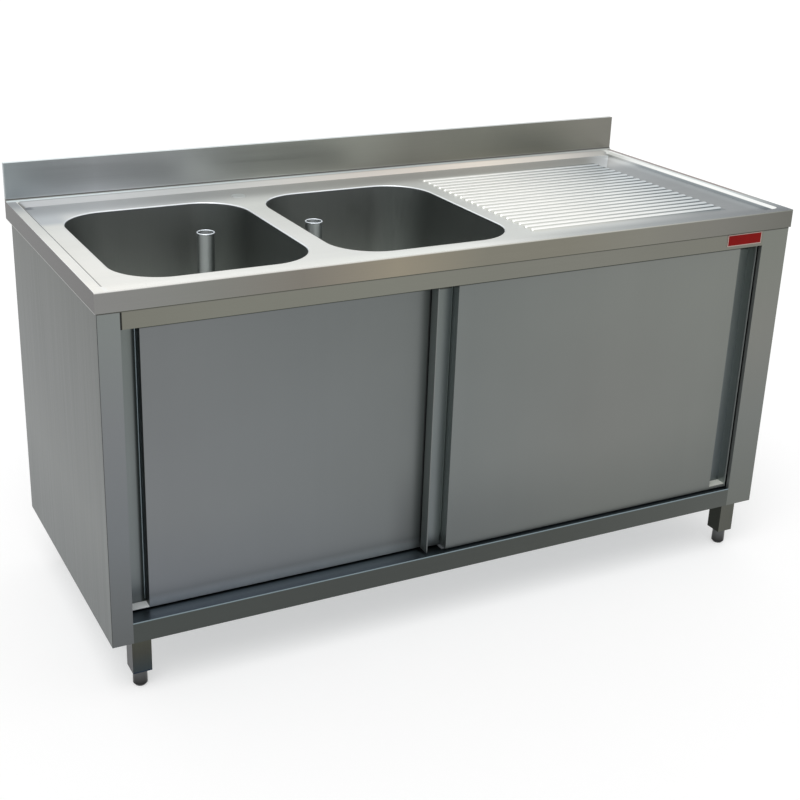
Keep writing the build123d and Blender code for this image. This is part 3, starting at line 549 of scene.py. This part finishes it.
def rail_steel():
    """The top rail under the apron, and the base shelf with its front edge and sill, with painted shade
    in the gap by the fascia, under the apron and on the sill, a painted reflection of the dark ground
    on the front edge and a painted highlight on its top bend.
    """
    p = Paint("rail_steel")
    upper = p.ramp(p.x, LEFT, RIGHT, tone(120, 120, 111), tone(124, 125, 116), tone(123, 123, 115),
                   tone(122, 122, 113))
    # painted shade in the gap at the fascia's end
    gap = p.step(p.x, FASCIA.x + 0.0045, FASCIA.x + 0.0025)
    upper = p.mix(gap, upper, tone(40, 40, 38))
    # painted shade just under the apron
    under = p.step(p.z, RIM - 0.0435, RIM - 0.0422)
    upper = p.mix(under, upper, tone(84, 84, 78))
    # painted reflection of the dark ground on the shelf's front edge
    lower = p.ramp(p.x, LEFT, RIGHT, tone(76, 80, 78), tone(75, 78, 76), tone(77, 80, 77),
                   tone(88, 91, 88))
    # painted highlight along the top bend of the front edge
    lower = p.mix(p.step(p.z, SHELF - 0.0035, SHELF - 0.001), lower, tone(134, 150, 156))
    # painted shade: the sill darkens up to the door, which stands 22 mm nearer on the right
    back = p.sum("ADD", p.y, p.blend(p.step(p.x, -0.11, -0.1), 0.0, 0.022))
    sill = p.ramp(back, FRONT + 0.008, FRONT + 0.046, tone(116, 126, 136), tone(108, 117, 124),
                  tone(70, 80, 86), tone(20, 24, 26))
    lower = p.mix(p.faces_up(), lower, sill)
    inside = p.both(p.faces_up(), p.step(p.y, FRONT + 0.062, FRONT + 0.075), p.step(p.z, 0.5, 0.4))
    lower = p.mix(inside, lower, INSIDE)
    colour = p.mix(p.step(p.z, 0.4, 0.5), lower, upper)
    return brushed(p, colour, "x", 0.36, 0.04, 0.025, p.blend(inside, 1.0, 0.3))


def leg_steel():
    """Square legs: painted darker on the side that faces left, with a painted highlight along the top
    of the right one.
    """
    p = Paint("leg_steel")
    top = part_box("leg_front_right")[1].z
    right = p.step(p.x, -0.2, 0.2)
    front = p.ramp(p.z, 0.038, 0.128, tone(56, 64, 68), tone(70, 71, 66), tone(78, 79, 70))
    front = p.mix(right, front, tone(88, 89, 83))
    # a dark blue band along the foot of the left leg
    hem = p.step(p.z, 0.0412, 0.0392)
    front = p.mix(p.both(hem, p.step(p.x, 0.2, -0.2)), front, tone(34, 46, 62))
    side = p.mix(right, tone(48, 50, 53), tone(48, 50, 45))
    colour = p.mix(p.faces_left(), front, side)
    # painted highlight along the top of the right leg
    top_highlight = p.both(p.step(p.z, top - 0.0035, top - 0.0025), right)
    colour = p.mix(top_highlight, colour, tone(236, 238, 234))
    return brushed(p, colour, "z", 0.36, 0.06, 0.05)


def foot_steel():
    p = Paint("foot_steel")
    colour = p.ramp(p.z, 0.0, 0.04, tone(16, 16, 18), tone(66, 66, 66), tone(84, 85, 86),
                    tone(84, 85, 86))
    return brushed(p, colour, "z", 0.34, 0.06, 0.05)


def plain_steel(name, colour, grain="z", roughness=0.4):
    p = Paint(name)
    return brushed(p, tone(*colour), grain, roughness, 0.06, 0.06)


def seam_steel():
    p = Paint("seam_steel")
    # the pale tone on the left door is a painted highlight of the bend where a channel's floor meets
    # its wall; darker on the right door
    colour = p.mix(p.step(p.x, -0.4, -0.3), tone(148, 164, 170), tone(86, 94, 92))
    return brushed(p, colour, "z", 0.4, 0.06, 0.06)


def plate_enamel():
    """Plain red plate with a thin pale border."""
    p = Paint("plate_enamel")
    low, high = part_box("name_plate")
    rim, face = 0.0012, 0.002
    masks = [p.step(p.x, low.x + rim, low.x + face), p.step(p.x, high.x - rim, high.x - face),
             p.step(p.z, low.z + rim, low.z + face), p.step(p.z, high.z - rim, high.z - face)]
    shade = p.noise((60, 60, 60), 3.0)
    red = p.times(tone(136, 12, 10), p.scaled(shade, 0.94, 1.06))
    p.shader.inputs["Specular IOR Level"].default_value = 0.1
    return p.finish(p.mix(p.both(*masks), tone(198, 176, 168), red), 0.0, 0.5, shade, 0.05)


def plastic(name, colour, roughness, grit=300.0):
    p = Paint(name)
    shade = p.noise((grit, grit, grit), 2.0)
    cloud = p.noise((12, 12, 12), 2.0)
    body = p.times(p.times(tone(*colour), p.scaled(shade, 0.93, 1.07)), p.scaled(cloud, 0.95, 1.05))
    return p.finish(body, 0.0, roughness, shade, 0.15)


def board():
    p = Paint("board")
    grain = p.noise((7, 160, 160), 4.0)
    return p.finish(p.ramp(grain, 0.3, 0.7, tone(150, 124, 92), tone(182, 156, 120)), 0.0, 0.8,
                    grain, 0.2)


def dress():
    """Give every CAD node the material of its slot."""
    looks = {"worktop_steel": worktop_steel(), "bowl_steel": bowl_steel(),
             "fitting_steel": fitting_steel(), "panel_steel": panel_steel(),
             "rail_steel": rail_steel(), "door_steel": door_steel(),
             "track_steel": plain_steel("track_steel", (112, 115, 114), "x", 0.45),
             "leg_steel": leg_steel(), "foot_steel": foot_steel(),
             "screw_steel": plain_steel("screw_steel", (190, 192, 190), "z", 0.25),
             "red_plate": plate_enamel(), "board": board(),
             "core": plastic("core", (198, 186, 160), 0.8, 120),
             "black_rubber": plastic("black_rubber", (30, 31, 32), 0.6),
             "nylon": plastic("nylon", (214, 214, 208), 0.45),
             "grey_plastic": plastic("grey_plastic", (86, 89, 92), 0.5)}
    for part in frame["record"]["subparts"]:
        for slot in nodes[part["node"]].material_slots:
            slot.material = looks[part["material_slot"]]


# ---------------------------------------------------------------- trims
def seam(name, x, y, low, high, body, steel):
    """A thin upright bead, 3 mm wide and 1 mm proud, at the foot of a channel's inner wall."""
    half, proud, turns, lengths = 0.0015, 0.001, 8, 24
    mesh = bpy.data.meshes.new(name)
    ring = [(x - half * math.cos(math.pi * t / turns), y - proud * math.sin(math.pi * t / turns))
            for t in range(turns + 1)]
    points, faces = [], []
    for step in range(lengths + 1):
        share = step / lengths
        points += [(px, py, low + (high - low) * share) for px, py in ring]
    count = len(ring)
    for step in range(lengths):
        for turn in range(count):
            a, b = step * count + turn, step * count + (turn + 1) % count
            faces.append((a, b, b + count, a + count))
    faces += [tuple(reversed(range(count))), tuple(lengths * count + n for n in range(count))]
    mesh.from_pydata(points, [], faces)
    for face in mesh.polygons[:-2]:
        face.use_smooth = True
    mesh.materials.append(steel)
    made = bpy.data.objects.new(name, mesh)
    bpy.context.scene.collection.objects.link(made)
    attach(made, body)


def make_seams():
    """One seam at the inner wall of each of the four finger channels."""
    steel = seam_steel()
    for side, floor in (("left", CHANNEL_LEFT), ("right", CHANNEL_RIGHT)):
        low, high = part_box(f"{side}_door_skin")
        for end, x in (("start", low.x + PULL - 0.0018), ("end", high.x - PULL + 0.0018)):
            seam(f"{side}_door_seam_{end}", x, floor, low.z + 0.008, high.z - 0.001,
                 f"{side}_door", steel)


# ---------------------------------------------------------------- studio
def seen_power(tree, light, seen):
    """A strength that is seen by the camera and in reflections, and light otherwise."""
    path = tree.nodes.new("ShaderNodeLightPath")
    mask = path.outputs["Is Camera Ray"]
    for ray in ("Is Glossy Ray", "Is Transmission Ray"):
        either = tree.nodes.new("ShaderNodeMath")
        either.operation = "MAXIMUM"
        tree.links.new(mask, either.inputs[0])
        tree.links.new(path.outputs[ray], either.inputs[1])
        mask = either.outputs[0]
    power = tree.nodes.new("ShaderNodeMapRange")
    tree.links.new(mask, power.inputs["Value"])
    power.inputs["To Min"].default_value, power.inputs["To Max"].default_value = light, seen
    return power.outputs[0]


def make_world():
    """White to the camera and to reflections, softer as a light."""
    world = bpy.data.worlds.new("studio")
    bpy.context.scene.world = world
    world.use_nodes = True
    background = world.node_tree.nodes["Background"]
    background.inputs["Color"].default_value = (1, 1, 1, 1)
    world.node_tree.links.new(seen_power(world.node_tree, 0.6, 1.0), background.inputs["Strength"])


def make_floor():
    """A white floor that keeps the object's shadow, half a millimetre below the soles."""
    half, drop = 40, 0.0005
    mesh = bpy.data.meshes.new("floor")
    corners = [(-half, -half, -drop), (half, -half, -drop), (half, half, -drop), (-half, half, -drop)]
    mesh.from_pydata(corners, [], [(0, 1, 2, 3)])
    floor = bpy.data.objects.new("floor", mesh)
    bpy.context.scene.collection.objects.link(floor)
    p = Paint("floor_white")
    shade = p.noise((5, 5, 5), 2.0)
    p.shader.inputs["Emission Color"].default_value = (1, 1, 1, 1)
    p.feed(p.shader.inputs["Emission Strength"], seen_power(p.tree, 0.0, 0.5))
    mesh.materials.append(p.finish(p.times(tone(196, 196, 196), p.scaled(shade, 0.995, 1.0)), 0.0, 0.9))


def make_sun(energy, direction, angle):
    """A sun that shines along a direction; its angle in degrees sets how soft the shadows are."""
    data = bpy.data.lights.new("sun", "SUN")
    data.energy, data.angle = energy, math.radians(angle)
    lamp = bpy.data.objects.new("sun", data)
    bpy.context.scene.collection.objects.link(lamp)
    lamp.rotation_mode = "QUATERNION"
    lamp.rotation_quaternion = Vector(direction).to_track_quat("-Z", "Y")


# ---------------------------------------------------------------- the scene
bpy.context.scene.view_settings.view_transform = "Standard"
make_camera()
dress()
make_seams()
make_world()
make_floor()
make_sun(1.3, (0.35, 0.45, -1.0), 40)
